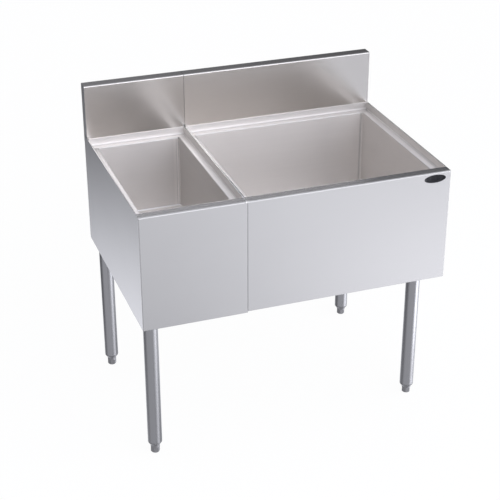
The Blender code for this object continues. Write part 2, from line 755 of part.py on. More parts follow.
def socket_mesh(inward_x, inward_y):
    """Round socket under a square plate that reaches inward from the leg."""
    span_x = sorted((-inward_x * SOCKET_OUTER_REACH, inward_x * SOCKET_INNER_REACH))
    span_y = sorted((-inward_y * SOCKET_OUTER_REACH, inward_y * SOCKET_INNER_REACH))
    span = (*span_x, *span_y)
    inside = LEG_RADIUS + GAP
    outside = inside + SOCKET_WALL
    under = -SOCKET_PLATE
    return lofted("leg_socket", [
        rectangle_loop(span, SOCKET_PLATE, 0), rectangle_loop(span, SOCKET_PLATE, under),
        circle_loop((0, 0), outside, under), circle_loop((0, 0), outside, under - SOCKET_HEIGHT),
        circle_loop((0, 0), inside, under - SOCKET_HEIGHT), circle_loop((0, 0), inside, under)],
        closed=False)


def foot_mesh():
    """Levelling foot: chamfered sole, hexagon grip, round neck and threaded stem."""
    return turned("levelling_foot", [
        (0, 0), (FOOT_RADIUS - FOOT_CHAMFER, 0), (FOOT_RADIUS, FOOT_CHAMFER),
        (FOOT_RADIUS, FOOT_NECK_TOP), (STEM_RADIUS, FOOT_NECK_TOP),
        (STEM_RADIUS, FOOT_NECK_TOP + STEM_LENGTH - EDGE_BREAK),
        (STEM_RADIUS - EDGE_BREAK, FOOT_NECK_TOP + STEM_LENGTH), (0, FOOT_NECK_TOP + STEM_LENGTH)],
        closed=False)


def grip_mesh():
    """Envelope that leaves six flats on a foot's grip and the rest of it round."""
    flat_radius = FOOT_RADIUS * FOOT_HEX_SHARE / math.cos(math.pi / HEX_SIDES)
    wide = FOOT_RADIUS + OVERRUN
    return lofted("foot_grip", [
        hexagon_loop(flat_radius, -OVERRUN), hexagon_loop(flat_radius, FOOT_HEX_HEIGHT),
        ring_loop(wide, FOOT_HEX_HEIGHT), ring_loop(wide, FOOT_NECK_TOP + STEM_LENGTH + OVERRUN)],
        closed=False)


def insert_mesh():
    """Tube end insert: tapered nose below the tube and a plug inside it."""
    plug = LEG_RADIUS - LEG_WALL - GAP
    neck = FOOT_RADIUS + GAP
    nose = neck + NOSE_LIP
    collar = NOSE_HEIGHT - GAP
    return turned("foot_insert", rounded_outline([
        (neck, 0, 0), (nose, 0, 0), (LEG_RADIUS, collar - LEG_WALL, NOSE_SHOULDER),
        (LEG_RADIUS, collar, 0), (plug, collar, 0), (plug, INSERT_HEIGHT, 0),
        (STEM_RADIUS + GAP, INSERT_HEIGHT, 0), (STEM_RADIUS + GAP, FOOT_BORE_DEPTH, 0),
        (neck, FOOT_BORE_DEPTH, 0)]))


def set_screw_mesh():
    """Cup-point screw with a hexagon drive, lying along Z with its tip at Z = 0."""
    length = SOCKET_WALL + SET_SCREW_PROUD
    drive = length - SET_SCREW_DRIVE_DEPTH
    return lofted("socket_screw", [
        ring_loop(SET_SCREW_RADIUS - EDGE_BREAK, 0, SCREW_POINTS),
        ring_loop(SET_SCREW_RADIUS, EDGE_BREAK, SCREW_POINTS),
        ring_loop(SET_SCREW_RADIUS, length, SCREW_POINTS),
        hexagon_loop(SET_SCREW_DRIVE, length, SCREW_POINTS),
        hexagon_loop(SET_SCREW_DRIVE, drive, SCREW_POINTS)], closed=False)


def build_leg(name, x, y, exposed, inward, meshes, steel, metal):
    """One leg on its own axis: socket, set screw, tube, insert and levelling foot."""
    axis = make_empty(name + "_leg", (x - OVERALL_WIDTH / 2, y - OVERALL_DEPTH / 2, 0))
    socket_top = RIM_HEIGHT - PAN_DEPTH - GAP
    tube_top = socket_top - SOCKET_PLATE - GAP
    tube_foot = exposed + NOSE_HEIGHT
    socket = place(name + "_leg_socket", socket_mesh(*inward), metal, axis, (0, 0, socket_top))
    screw_height = socket_top - SOCKET_PLATE - SOCKET_HEIGHT / 2
    screw_start = inward[0] * (LEG_RADIUS + GAP)
    hole_end = inward[0] * (LEG_RADIUS + SOCKET_WALL + OVERRUN)
    spans = [((screw_start - inward[0] * OVERRUN, 0, screw_height), (hole_end, 0, screw_height))]
    hole = rods(name + "_screw_hole", SET_SCREW_RADIUS + GAP, spans, "X")
    add_boolean(socket, place_cutter(name + "_screw_hole", hole, axis), "DIFFERENCE")
    lie = (0, inward[0] * math.pi / 2, 0)
    place(name + "_socket_screw", meshes["screw"], metal, axis, (screw_start, 0, screw_height), lie)
    inner = LEG_RADIUS - LEG_WALL
    tube = turned(name + "_leg_tube", [
        (inner, tube_top), (inner, tube_foot), (LEG_RADIUS, tube_foot), (LEG_RADIUS, tube_top)])
    place(name + "_leg_tube", tube, steel, axis)
    place(name + "_foot_insert", meshes["insert"], metal, axis, (0, 0, exposed))
    foot = place(name + "_foot", meshes["foot"], metal, axis)
    add_boolean(foot, place_cutter(name + "_foot_grip", meshes["grip"], axis), "INTERSECT")


def build_legs(steel, metal):
    """Four legs; the ice bin's pair stands further in and further back than the well's."""
    meshes = {
        "screw": set_screw_mesh(), "insert": insert_mesh(), "foot": foot_mesh(), "grip": grip_mesh()}
    right = OVERALL_WIDTH - BIN_LEG_INSET
    well_back = OVERALL_DEPTH - WELL_REAR_LEG_INSET
    bin_back = OVERALL_DEPTH - BIN_REAR_LEG_INSET
    places = (
        ("front_left", WELL_LEG_INSET, WELL_FRONT_LEG_INSET, WELL_FOOT_EXPOSED, (1, 1)),
        ("rear_left", WELL_LEG_INSET, well_back, WELL_FOOT_EXPOSED, (1, -1)),
        ("front_right", right, BIN_FRONT_LEG_INSET, BIN_FOOT_EXPOSED, (-1, 1)),
        ("rear_right", right, bin_back, BIN_FOOT_EXPOSED, (-1, -1)))
    for name, x, y, exposed, inward in places:
        build_leg(name, x, y, exposed, inward, meshes, steel, metal)


def main():
    """Build the whole station."""
    clear_scene()
    steel = make_material("brushed_stainless", (0.62, 0.62, 0.63), 0.32, 1.0)
    tube_steel = make_material("tube_stainless", (0.50, 0.50, 0.52), 0.35, 1.0)
    metal = make_material("cast_metal", (0.45, 0.45, 0.47), 0.40, 1.0)
    foam = make_material("white_foam", (0.86, 0.82, 0.70), 0.90, 0.0)
    rubber = make_material("black_rubber", (0.03, 0.03, 0.03), 0.70, 0.0)
    left_edge = -OVERALL_WIDTH / 2
    bin_edge = left_edge + WELL_MODULE_WIDTH + MODULE_GAP / 2
    well = Module(
        "well", left_edge, WELL_MODULE_WIDTH - MODULE_GAP / 2, WELL_APRON_HEIGHT,
        WELL_FLOOR_DEPTH, "left")
    ice_bin = Module(
        "bin", bin_edge, BIN_MODULE_WIDTH - MODULE_GAP / 2, BIN_APRON_HEIGHT,
        BIN_FLOOR_DEPTH, "right")
    well_divider = build_module(well, steel, foam, metal, rubber)
    bin_divider = build_module(ice_bin, steel, foam, metal, rubber)
    build_module_bolts(well_divider, bin_divider, metal)
    build_legs(tube_steel, metal)


main()
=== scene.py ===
"""Look of the underbar ice station: metals, fine pieces, floor, light and camera.

Lengths are metres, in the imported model's frame: X right, Y back, Z up from the floor.
A ramp is written as (from, to, value at from, value at to) and stays level past its ends.
"""
import json
import math

import bmesh
import bpy
from mathutils import Matrix, Vector


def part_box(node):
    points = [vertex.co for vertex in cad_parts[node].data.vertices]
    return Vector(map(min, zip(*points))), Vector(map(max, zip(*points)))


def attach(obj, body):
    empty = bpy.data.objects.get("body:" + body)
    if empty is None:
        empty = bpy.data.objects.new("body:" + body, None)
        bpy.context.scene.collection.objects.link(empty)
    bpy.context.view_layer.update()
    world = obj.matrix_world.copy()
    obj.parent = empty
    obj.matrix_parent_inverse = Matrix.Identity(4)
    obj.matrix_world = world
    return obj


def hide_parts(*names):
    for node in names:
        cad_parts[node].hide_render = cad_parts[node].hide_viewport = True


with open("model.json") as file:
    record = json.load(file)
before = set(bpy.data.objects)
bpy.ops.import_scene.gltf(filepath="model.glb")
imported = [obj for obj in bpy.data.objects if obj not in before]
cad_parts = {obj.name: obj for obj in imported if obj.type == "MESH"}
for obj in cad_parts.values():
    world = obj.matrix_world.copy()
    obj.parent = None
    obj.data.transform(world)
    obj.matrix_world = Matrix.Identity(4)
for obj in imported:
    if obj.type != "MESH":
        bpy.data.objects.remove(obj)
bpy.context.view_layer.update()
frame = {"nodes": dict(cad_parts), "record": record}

# Camera, solved from the photograph's edges
CAMERA_PLACE = (-1.21295, -3.28313, 2.26842)
CAMERA_AZIMUTH = 19.70588
CAMERA_ELEVATION = 27.48535
CAMERA_ROLL = -0.04144
CAMERA_LENS = 93.765
CAMERA_SENSOR = 36.0
CAMERA_REACH = 100.0

# Metals: linear colours
SHEET_COLOUR = (0.706, 0.692, 0.673)
SPLASH_COLOUR = (0.680, 0.654, 0.624)
LINER_COLOUR = (0.795, 0.767, 0.741)
TUBE_COLOUR = (0.350, 0.346, 0.346)
FOOT_COLOUR = (0.270, 0.266, 0.266)
SOCKET_COLOUR = (0.420, 0.420, 0.430)
DRAIN_COLOUR = (0.720, 0.720, 0.730)
SCREW_COLOUR = (0.520, 0.520, 0.530)
BADGE_RIM_COLOUR = (0.060, 0.060, 0.062)

# Range that most of a noise lies in
NOISE_LOW = 0.3
NOISE_HIGH = 0.7

# Metals: grain along and across the brushing, cloudy polish and rounded edges
FINE_GRAIN_ALONG = 5.0
FINE_GRAIN_ACROSS = 850.0
BROAD_GRAIN_ALONG = 1.5
BROAD_GRAIN_ACROSS = 60.0
BROAD_GRAIN_SHARE = 0.5
CLOUD_SCALE = 6.0
CLOUD_SHARE = 1 / 3
SIDE_FACING = 0.7
EDGE_SAMPLES = 4
EDGE_RAMP = (0.995, 0.90, 0.0, 1.0)
GRAIN_RELIEF = 0.01
GRAIN_DEPTH = 0.0002

# Rubber: black with pale dust and fine specks
RUBBER_BLACK = (0.020, 0.020, 0.021, 1)
RUBBER_DUST = (0.075, 0.073, 0.070, 1)
RUBBER_DUST_SCALE = 40.0
RUBBER_DUST_SHARE = (0.45, 0.75, 0.0, 0.35)
RUBBER_SPECK_SCALE = 900.0
RUBBER_ROUGHNESS = (NOISE_LOW, NOISE_HIGH, 0.62, 0.82)
RUBBER_RELIEF = 0.2
RUBBER_DEPTH = 0.0003

# Foam and enamel, both with soft patches
PATCH_SHARE = (0.35, 0.7, 0.0, 1.0)
FOAM_PALE = (0.80, 0.74, 0.56, 1)
FOAM_YELLOWED = (0.66, 0.56, 0.36, 1)
FOAM_PATCH_SCALE = 14.0
FOAM_CELL_SCALE = 420.0
FOAM_ROUGHNESS = 0.9
FOAM_RELIEF = 0.6
FOAM_DEPTH = 0.0012
ENAMEL_BLACK = (0.006, 0.006, 0.007, 1)
ENAMEL_CLOUD = (0.014, 0.014, 0.016, 1)
ENAMEL_PATCH_SCALE = 120.0
ENAMEL_GLOSS = 0.22
ENAMEL_ROUGHNESS = (NOISE_LOW, NOISE_HIGH, 0.16, 0.30)

# Facing of a surface, as the share of its normal along one axis
LEVEL_LEAST = 0.8
BENT_LEAST = 0.15
BENT_MOST = 0.98
UPRIGHT_MOST = 0.3
NOT_LEFTWARD = -0.5
LEFTWARD = -0.9

# Seam between the two modules, where shade gathers along the sheet edges
SEAM_PLACE = -0.1524
SEAM_RAMP = (0.0006, 0.0019, 0.80, 1.0)

# Folded outer corner at the left of the apron, with painted shade over its last millimetres
FOLD_PLACE = -0.4572
FOLD_FRONT = -0.3040
FOLD_RAMP = (0.0012, 0.0032, 0.72, 1.0)

# Rolled front edges of the rims and the splash, with painted shade that dims their highlight
FRONT_EDGE = -0.30
SPLASH_EDGE_HEIGHT = 0.9325
ROLL_SHADE = 0.66

# Splash front, with painted light that brightens it downwards: how much by height, and which share of
# it across
SPLASH_FRONT_REACH = 0.2800
SPLASH_LIFT = (0.78, 0.925, 0.44, 0.02)
WELL_SPLASH_SHARE = (-0.28, -0.18, 1.0, 0.1)
BIN_SPLASH_SHARE = (0.10, 0.40, 1.0, 0.0)

# Basins: walls, ledge and floor
REAR_WALL = 0.2451
WELL_LEFT_WALL = -0.4318
WELL_RIGHT_WALL = -0.1782
BIN_RIGHT_WALL = 0.4318
LEDGE_LEAST_HEIGHT = 0.735
WELL_FLOOR = 0.5185

# Rim tops with painted light and shade, as (left, right, front shade, rear shade): ridge by the well,
# by the bin, left rim
RIM_TOP_LEAST = 0.7660
RIM_TOP_MOST = 0.7760
RIM_TOPS = (
    (-0.1560, -0.1521, 1.60, 0.42),
    (-0.1521, -0.1485, 1.25, 0.60),
    (-0.4672, -0.4525, 1.00, 0.55))

# Painted light and shade along and across the ledges. The well's ledge shade is undone past the seam
LEDGE_ALONG = (-REAR_WALL, REAR_WALL, 1.22, 0.88)
LEFT_LEDGE_ALONG = (-REAR_WALL, REAR_WALL, 1.22, 0.50)
LEDGE_SIDE_START = 0.010
LEDGE_SIDE_END = 0.0227
LEDGE_SIDE_SHADE = 0.84
LEDGE_SIDE_UNDONE = (SEAM_PLACE, SEAM_PLACE + 0.002, 1.0, 1.0 / LEDGE_SIDE_SHADE)
REAR_LEDGE_ACROSS = (WELL_RIGHT_WALL, BIN_RIGHT_WALL, 1.0, 0.80)
# Painted shade on the ledges' bends, which dims their highlight
LEDGE_BEND_SHADE = 0.86

# Bin's ledge beside the ridge, of which only a strip shows past the ridge, with painted shade deeper
# towards the rear
BIN_LEFT_LEDGE_END = -0.1240
BIN_LEFT_LEDGE_BACK = 0.2370
BIN_LEFT_LEDGE_ALONG = (-REAR_WALL, REAR_WALL, 0.86, 0.56)

# Well's right wall, darkened by painted shade
WELL_RIGHT_SHADE = 0.82

# Painted shade and highlight lines across the upright rear corners, as (distance, shade), with the
# rear wall below 0
WELL_CORNER = (
    (-0.1200, 1.00), (-0.0200, 1.08), (-0.0165, 1.14), (-0.0105, 1.16), (-0.0090, 0.74),
    (-0.0078, 1.18), (-0.0052, 1.18), (-0.0042, 0.84), (0.0012, 0.86), (0.0040, 1.00))
BIN_CORNER = (
    (-0.1200, 1.00), (-0.0100, 1.10), (-0.0080, 0.80), (-0.0040, 0.72), (-0.0012, 0.90),
    (0.0020, 1.00))

# Painted highlight and shade across the bend at the well's floor, as (height above the floor, shade)
FLOOR_LINE = ((0.0002, 1.00), (0.0012, 1.45), (0.0034, 1.45), (0.0046, 0.88), (0.0080, 1.00))

# Small dark notches where the mouth's bends meet at the well's rear corners, drawn as shade
NOTCH_HEIGHT = 0.7445
NOTCH_INSET = 0.0023
NOTCH_RAMP = (0.0012, 0.0036, 0.45, 1.0)

# Leg tubes
TUBE_SEGMENTS = 72
TUBE_END_BREAK = 0.0006
TUBE_WALL = 0.0016

# Left legs' right sides, with painted shade that deepens towards the floor
LEG_RIGHT_SIDE = (0.20, 0.60, 0.0, 1.0)
LEG_DIM = (0.08, 0.42, 0.42, 0.88)

# Painted shade on the outermost sides of all legs
LEG_OUTERMOST = (0.72, 0.93, 1.0, 0.76)

# Painted highlight on the right legs right of the middle, which fades towards the floor
GLEAM_START = (-0.10, 0.20, 0.0, 0.55)
GLEAM_END = (0.45, 0.75, 1.0, 0.15)
GLEAM_UP = (0.10, 0.28, 0.1, 1.0)

# Badge: an oval with its rings as (rim widths inwards, share of the thickness)
BADGE_WIDTH = 0.0675
BADGE_HEIGHT = 0.0246
BADGE_FROM_RIGHT = 0.0483
BADGE_BELOW_RIM = 0.0190
BADGE_THICKNESS = 0.0002
BADGE_RIM = 0.0010
BADGE_RINGS = ((0.0, 0.0), (0.6, 1.0), (2.0, 1.0), (2.4, 0.5))
BADGE_SEGMENTS = 72
BADGE_RIM_SLOT = 1

# Meshes made here
MERGE_DISTANCE = 1e-6
SMOOTH_ANGLE = 30

# Floor
FLOOR_SIZE = 40.0
FLOOR_COLOUR = (0.95, 0.95, 0.95, 1)
FLOOR_WHITE_SHARE = 0.95
WHITE = (1, 1, 1, 1)

# Studio light, slightly cool
LIGHT_COLOUR = (0.950, 0.970, 1.060)

# Soft light above and in front
SOFTBOX_PLACE = (0.6, -4.2, 2.9)
SOFTBOX_AIM = (0.0, 0.0, 0.7)
SOFTBOX_WIDTH = 5.0
SOFTBOX_HEIGHT = 3.0
SOFTBOX_POWER = 75.0

# Surroundings that the metals mirror: shares of what lies behind, above and overhead
BEHIND_SHARE = (-0.30, 0.50, 0.0, 1.0)
UPPER_SHARE = (-0.15, 0.10, 0.0, 1.0)
CEILING_SHARE = (0.62, 0.80, 0.0, 1.0)

# Upper half: the far wall, the room in front and the ceiling
WALL_ACROSS = (0.15, 0.50, 0.42, 0.08)
WALL_UP = (0.22, 0.44, 0.03, 1.0)
FRONT_ACROSS = (-0.50, 0.25, 0.45, 2.25)
CEILING_BACK = (-0.45, 0.25, 0.90, 1.45)
CEILING_LEFT = (-0.60, 0.10, 0.45, 1.0)
CEILING_RIGHT = (0.15, 0.70, 1.0, 0.65)

# Lower half in front: a level, tilted and arched across, which is limited and then graded
GROUND_LEVEL = 0.835
GROUND_ACROSS = (-0.04, 0.44, -0.34, 0.14)
GROUND_UP = (-0.50, -0.37, -0.05, 0.08)
GROUND_TILT = 3.3
GROUND_TWIST = -38.0
ARCH_TOP = 0.03
ARCH_LIFT = 0.0085
ARCH_DEPTH = -270.0
GROUND_LEAST = (0.05, 0.18, 0.84, 0.50)
GROUND_MOST = 1.6
GROUND_LOWEST = (-0.575, -0.50, 0.70, 1.0)
BAND_UP = (-0.42, -0.37, 0.0, 1.0)
BAND_ACROSS = (0.32, 0.40, 0.12, -0.33)

# Lower half behind: a level with its centre, its tilt across and its fall upwards
FAR_LEVEL = 0.545
FAR_CENTRE_X = -0.3
FAR_CENTRE_Z = -0.45
FAR_TILT_ACROSS = 2.54
FAR_FALL = 9.0
FAR_LEAST = 0.15
FAR_MOST = 1.15

# A bright panel to the right
PANEL_WAY = (0.840, -0.500, -0.208)
PANEL_GLOW = (0.92, 0.985, 0.0, 3.8)


def add_node(tree, kind, inputs=None, **settings):
    """Add a shader node, set its options and connect or set its inputs."""
    node = tree.nodes.new(kind)
    for key, value in settings.items():
        setattr(node, key, value)
    for key, value in (inputs or {}).items():
        if isinstance(value, bpy.types.NodeSocket):
            tree.links.new(value, node.inputs[key])
        else:
            node.inputs[key].default_value = value
    return node


def math_node(tree, operation, first, second=0.0, third=0.0):
    """One arithmetic step, returned as its output."""
    inputs = {0: first, 1: second, 2: third}
    return add_node(tree, "ShaderNodeMath", inputs, operation=operation).outputs[0]


def above(tree, value, limit):
    """1 where a value is greater than its limit, else 0."""
    return math_node(tree, "GREATER_THAN", value, limit)


def below(tree, value, limit):
    """1 where a value is less than its limit, else 0."""
    return math_node(tree, "LESS_THAN", value, limit)


def size_of(tree, value):
    """A value without its sign."""
    return math_node(tree, "ABSOLUTE", value)


def plus(tree, first, second):
    """Sum of two values."""
    return math_node(tree, "ADD", first, second)


def minus(tree, first, second):
    """Difference of two values."""
    return math_node(tree, "SUBTRACT", first, second)


def product(tree, factors):
    """Multiply values together."""
    total = factors[0]
    for factor in factors[1:]:
        total = math_node(tree, "MULTIPLY", total, factor)
    return total


def ramp(tree, value, span, smooth=False):
    """A value carried along a ramp."""
    low, high, to_low, to_high = span
    kind = "SMOOTHSTEP" if smooth else "LINEAR"
    node = add_node(tree, "ShaderNodeMapRange", {
        "Value": value, "From Min": low, "From Max": high, "To Min": to_low, "To Max": to_high},
        interpolation_type=kind)
    return node.outputs["Result"]


def noise_ramp(tree, value, reach):
    """A noise carried to both sides of zero."""
    return ramp(tree, value, (NOISE_LOW, NOISE_HIGH, -reach, reach))


def blend(tree, share, first, second):
    """The first number, or the second one where the share is 1."""
    node = add_node(tree, "ShaderNodeMix", {
        "Factor": share, "A": first, "B": second}, data_type="FLOAT")
    return node.outputs["Result"]


def where(tree, masks, shade):
    """A shade where all masks are 1, and no shade elsewhere."""
    return blend(tree, product(tree, masks), 1.0, shade)


def split(tree, vector):
    """X, Y and Z of a vector."""
    parts = add_node(tree, "ShaderNodeSeparateXYZ", {0: vector}).outputs
    return parts["X"], parts["Y"], parts["Z"]


def object_place(tree):
    """Position on the object."""
    return add_node(tree, "ShaderNodeTexCoord").outputs["Object"]


def facing(tree, kind="True Normal"):
    """X, Y and Z of the surface's normal."""
    return split(tree, add_node(tree, "ShaderNodeNewGeometry").outputs[kind])


def noise(tree, place, detail, scale=1.0, roughness=0.5):
    """Cloudy noise around one half."""
    node = add_node(tree, "ShaderNodeTexNoise", {
        "Vector": place, "Scale": scale, "Detail": detail, "Roughness": roughness})
    return node.outputs["Fac"]


def tone(tree, share, first, second):
    """The first colour, or the second one where the share is 1."""
    node = add_node(tree, "ShaderNodeMix", {
        "Factor": share, "A": first, "B": second}, data_type="RGBA")
    return node.outputs["Result"]


def curve_ramp(tree, value, stops):
    """A shade that follows a short list of (place, shade) stops."""
    low = stops[0][0]
    high = stops[-1][0]
    node = add_node(tree, "ShaderNodeFloatCurve", {"Value": ramp(tree, value, (low, high, 0.0, 1.0))})
    curve = node.mapping.curves[0]
    # The curve holds half of each shade, since it ends at 1
    for index, (place, shade) in enumerate(stops):
        spot = (place - low) / (high - low)
        if index < 2:
            curve.points[index].location = (spot, shade / 2)
        else:
            curve.points.new(spot, shade / 2)
    for point in curve.points:
        point.handle_type = "VECTOR"
    node.mapping.update()
    return product(tree, [node.outputs[0], 2.0])


def rim_top_shade(tree, x, y, z):
    """Painted light and shade on top of the ridge and of the outer left rim, which changes from front
    to rear.
    """
    top = product(tree, [above(tree, z, RIM_TOP_LEAST), below(tree, z, RIM_TOP_MOST)])
    shades = []
    for left, right, front_shade, rear_shade in RIM_TOPS:
        along = ramp(tree, y, (-REAR_WALL, REAR_WALL, front_shade, rear_shade))
        shades.append(where(tree, [top, above(tree, x, left), below(tree, x, right)], along))
    return product(tree, shades)


def sheet_shade(tree, place):
    """Painted shade along the seam, the apron's folded left corner and the rolled edges, and painted
    light and shade on the rims.
    """
    x, y, z = split(tree, place)
    up = facing(tree)[2]
    from_seam = size_of(tree, minus(tree, x, SEAM_PLACE))
    splash_edge = above(tree, z, SPLASH_EDGE_HEIGHT)
    seam = blend(tree, splash_edge, ramp(tree, from_seam, SEAM_RAMP), 1.0)
    from_fold = size_of(tree, minus(tree, x, FOLD_PLACE))
    fold = where(tree, [below(tree, y, FOLD_FRONT)], ramp(tree, from_fold, FOLD_RAMP))
    edge = math_node(tree, "MAXIMUM", below(tree, y, FRONT_EDGE), splash_edge)
    roll = where(
        tree, [above(tree, up, BENT_LEAST), below(tree, up, BENT_MOST), edge], ROLL_SHADE)
    return product(tree, [seam, fold, roll, rim_top_shade(tree, x, y, z)])


def splash_shade(tree, place):
    """Painted light on the splash: its front brightens downwards, least at each module's right end,
    over the sheets' painted shade.
    """
    x, y, z = split(tree, place)
    in_well = below(tree, x, SEAM_PLACE)
    share = blend(
        tree, in_well, ramp(tree, x, BIN_SPLASH_SHARE), ramp(tree, x, WELL_SPLASH_SHARE))
    share = product(tree, [share, below(tree, y, SPLASH_FRONT_REACH)])
    brighter = math_node(tree, "MULTIPLY_ADD", share, ramp(tree, z, SPLASH_LIFT), 1.0)
    return product(tree, [brighter, sheet_shade(tree, place)])


def ledge_shade(tree, x, y, up, raised):
    """Painted light and shade on the ledges' flats along the basins, and painted shade at the right
    ledges' outer sides.
    """
    along = blend(
        tree, below(tree, x, WELL_LEFT_WALL), ramp(tree, y, LEDGE_ALONG),
        ramp(tree, y, LEFT_LEDGE_ALONG))
    shades = [blend(tree, above(tree, y, REAR_WALL), along, 1.0), ramp(tree, x, LEDGE_SIDE_UNDONE)]
    for wall in (WELL_RIGHT_WALL, BIN_RIGHT_WALL):
        side = (wall + LEDGE_SIDE_START, wall + LEDGE_SIDE_END, 1.0, LEDGE_SIDE_SHADE)
        shades.append(ramp(tree, x, side))
    return where(tree, [above(tree, up, LEVEL_LEAST), raised], product(tree, shades))


def corner_shade(tree, x, y, upright, wall, stops, in_module):
    """Painted shade and highlight across one upright rear corner, by the distance along its two
    walls.
    """
    around = minus(tree, minus(tree, x, wall), minus(tree, y, REAR_WALL))
    return where(tree, [in_module, upright], curve_ramp(tree, around, stops))


def notch_shade(tree, place, side):
    """Shade in one of the mouth's notches."""
    middle = (side, REAR_WALL - NOTCH_INSET, NOTCH_HEIGHT)
    gap = add_node(tree, "ShaderNodeVectorMath", {0: place, 1: middle}, operation="DISTANCE")
    return ramp(tree, gap.outputs["Value"], NOTCH_RAMP)


def basin_shade(tree, place):
    """Painted light and shade on the ledges, rims and right wall, and in corners, notches and the
    floor bend.
    """
    x, y, z = split(tree, place)
    rightward, _, up = facing(tree)
    raised = above(tree, z, LEDGE_LEAST_HEIGHT)
    rear = above(tree, y, REAR_WALL)
    in_well = below(tree, x, SEAM_PLACE)
    in_bin = minus(tree, 1.0, in_well)
    walled = below(tree, z, NOTCH_HEIGHT)
    upright = product(tree, [walled, below(tree, size_of(tree, up), UPRIGHT_MOST)])
    bent = [raised, above(tree, up, BENT_LEAST), below(tree, up, BENT_MOST)]
    beside_ridge = [
        in_bin, raised, below(tree, x, BIN_LEFT_LEDGE_END), below(tree, z, RIM_TOP_LEAST),
        below(tree, y, BIN_LEFT_LEDGE_BACK)]
    floor_line = curve_ramp(tree, minus(tree, z, WELL_FLOOR), FLOOR_LINE)
    return product(tree, [
        ledge_shade(tree, x, y, up, raised),
        where(tree, [rear, raised, above(tree, rightward, NOT_LEFTWARD)],
              ramp(tree, x, REAR_LEDGE_ACROSS)),
        where(tree, bent, LEDGE_BEND_SHADE),
        where(tree, beside_ridge, ramp(tree, y, BIN_LEFT_LEDGE_ALONG)),
        corner_shade(tree, x, y, upright, WELL_RIGHT_WALL, WELL_CORNER, in_well),
        corner_shade(tree, x, y, upright, BIN_RIGHT_WALL, BIN_CORNER, in_bin),
        where(tree, [in_well], floor_line),
        where(tree, [in_well, below(tree, rightward, LEFTWARD), walled], WELL_RIGHT_SHADE),
        rim_top_shade(tree, x, y, z),
        notch_shade(tree, place, WELL_LEFT_WALL + NOTCH_INSET),
        notch_shade(tree, place, WELL_RIGHT_WALL - NOTCH_INSET)])


def leg_shade(tree, place):
    """Painted shade on the legs' sides, deeper on the left legs' right, with a painted highlight on
    the right legs.
    """
    x, _, z = split(tree, place)
    across = facing(tree, "Normal")[0]
    left_leg = below(tree, x, 0.0)
    right_side = ramp(tree, across, LEG_RIGHT_SIDE, smooth=True)
    dim = where(tree, [right_side, left_leg], ramp(tree, z, LEG_DIM))
    sides = ramp(tree, size_of(tree, across), LEG_OUTERMOST, smooth=True)
    brighter = product(tree, [
        ramp(tree, across, GLEAM_START, smooth=True), ramp(tree, across, GLEAM_END, smooth=True),
        ramp(tree, z, GLEAM_UP)])
    gleam = math_node(tree, "MULTIPLY_ADD", brighter, minus(tree, 1.0, left_leg), 1.0)
    return product(tree, [dim, sides, gleam])


def new_material(name):
    """A material, its node tree and its Principled shader."""
    material = bpy.data.materials.new(name)
    material.use_nodes = True
    tree = material.node_tree
    return material, tree, tree.nodes["Principled BSDF"]


def grain_coordinates(tree, along, across, long_axis):
    """Position stretched along the brushing; side faces are brushed front to back."""
    place = object_place(tree)
    scales = {"X": (along, across, across), "Z": (across, across, along)}
    main = add_node(tree, "ShaderNodeMapping", {"Vector": place, "Scale": scales[long_axis]})
    if long_axis != "X":
        return main.outputs[0]
    side = add_node(tree, "ShaderNodeMapping", {"Vector": place, "Scale": (across, along, across)})
    faces_side = above(tree, size_of(tree, facing(tree)[0]), SIDE_FACING)
    chosen = add_node(tree, "ShaderNodeMix", {
        "Factor": faces_side, "A": main.outputs[0], "B": side.outputs[0]}, data_type="VECTOR")
    return chosen.outputs["Result"]


def edge_mask(tree, radius):
    """1 along a piece's edges and 0 on its flat faces, with the rounded normal."""
    rounded = add_node(tree, "ShaderNodeBevel", {"Radius": radius}, samples=EDGE_SAMPLES).outputs[0]
    flat = add_node(tree, "ShaderNodeNewGeometry").outputs["Normal"]
    match = add_node(
        tree, "ShaderNodeVectorMath", {0: rounded, 1: flat}, operation="DOT_PRODUCT")
    return ramp(tree, match.outputs["Value"], EDGE_RAMP), rounded


def add_bump(tree, shader, height, strength, depth, normal=None):
    """Give a shader a small relief, on top of another normal where there is one."""
    inputs = {"Strength": strength, "Distance": depth, "Height": height}
    if normal:
        inputs["Normal"] = normal
    tree.links.new(add_node(tree, "ShaderNodeBump", inputs).outputs[0], shader.inputs["Normal"])


def steel(name, colour, roughness, long_axis="X", grain=0.012, haze=0.012, wear=0.04,
          edge=0.0011, painted_light_and_shade=None):
    """Brushed metal: streaked colour, cloudy polish, bright worn edges, fine grain, painted light and
    shade.
    """
    material, tree, shader = new_material(name)
    fine_place = grain_coordinates(tree, FINE_GRAIN_ALONG, FINE_GRAIN_ACROSS, long_axis)
    broad_place = grain_coordinates(tree, BROAD_GRAIN_ALONG, BROAD_GRAIN_ACROSS, long_axis)
    place = object_place(tree)
    fine = noise(tree, fine_place, detail=3.0, roughness=0.6)
    broad = noise(tree, broad_place, detail=2.0)
    cloud = noise(tree, place, detail=3.0, scale=CLOUD_SCALE, roughness=0.55)
    worn, rounded = edge_mask(tree, edge)
    shade = noise_ramp(tree, broad, grain * BROAD_GRAIN_SHARE)
    shade = plus(tree, shade, noise_ramp(tree, fine, grain))
    shade = plus(tree, shade, noise_ramp(tree, cloud, haze * CLOUD_SHARE))
    shade = plus(tree, plus(tree, shade, 1.0), product(tree, [worn, wear]))
    # Painted light and shade by place, where a function for it is given
    if painted_light_and_shade:
        shade = product(tree, [shade, painted_light_and_shade(tree, place)])
    tint = add_node(tree, "ShaderNodeVectorMath", {0: colour, "Scale": shade}, operation="SCALE")
    tree.links.new(tint.outputs[0], shader.inputs["Base Color"])
    rough = plus(tree, roughness, noise_ramp(tree, cloud, haze))
    rough = plus(tree, rough, noise_ramp(tree, fine, grain))
    tree.links.new(rough, shader.inputs["Roughness"])
    add_bump(tree, shader, fine, GRAIN_RELIEF, GRAIN_DEPTH, rounded)
    shader.inputs["Metallic"].default_value = 1.0
    return material


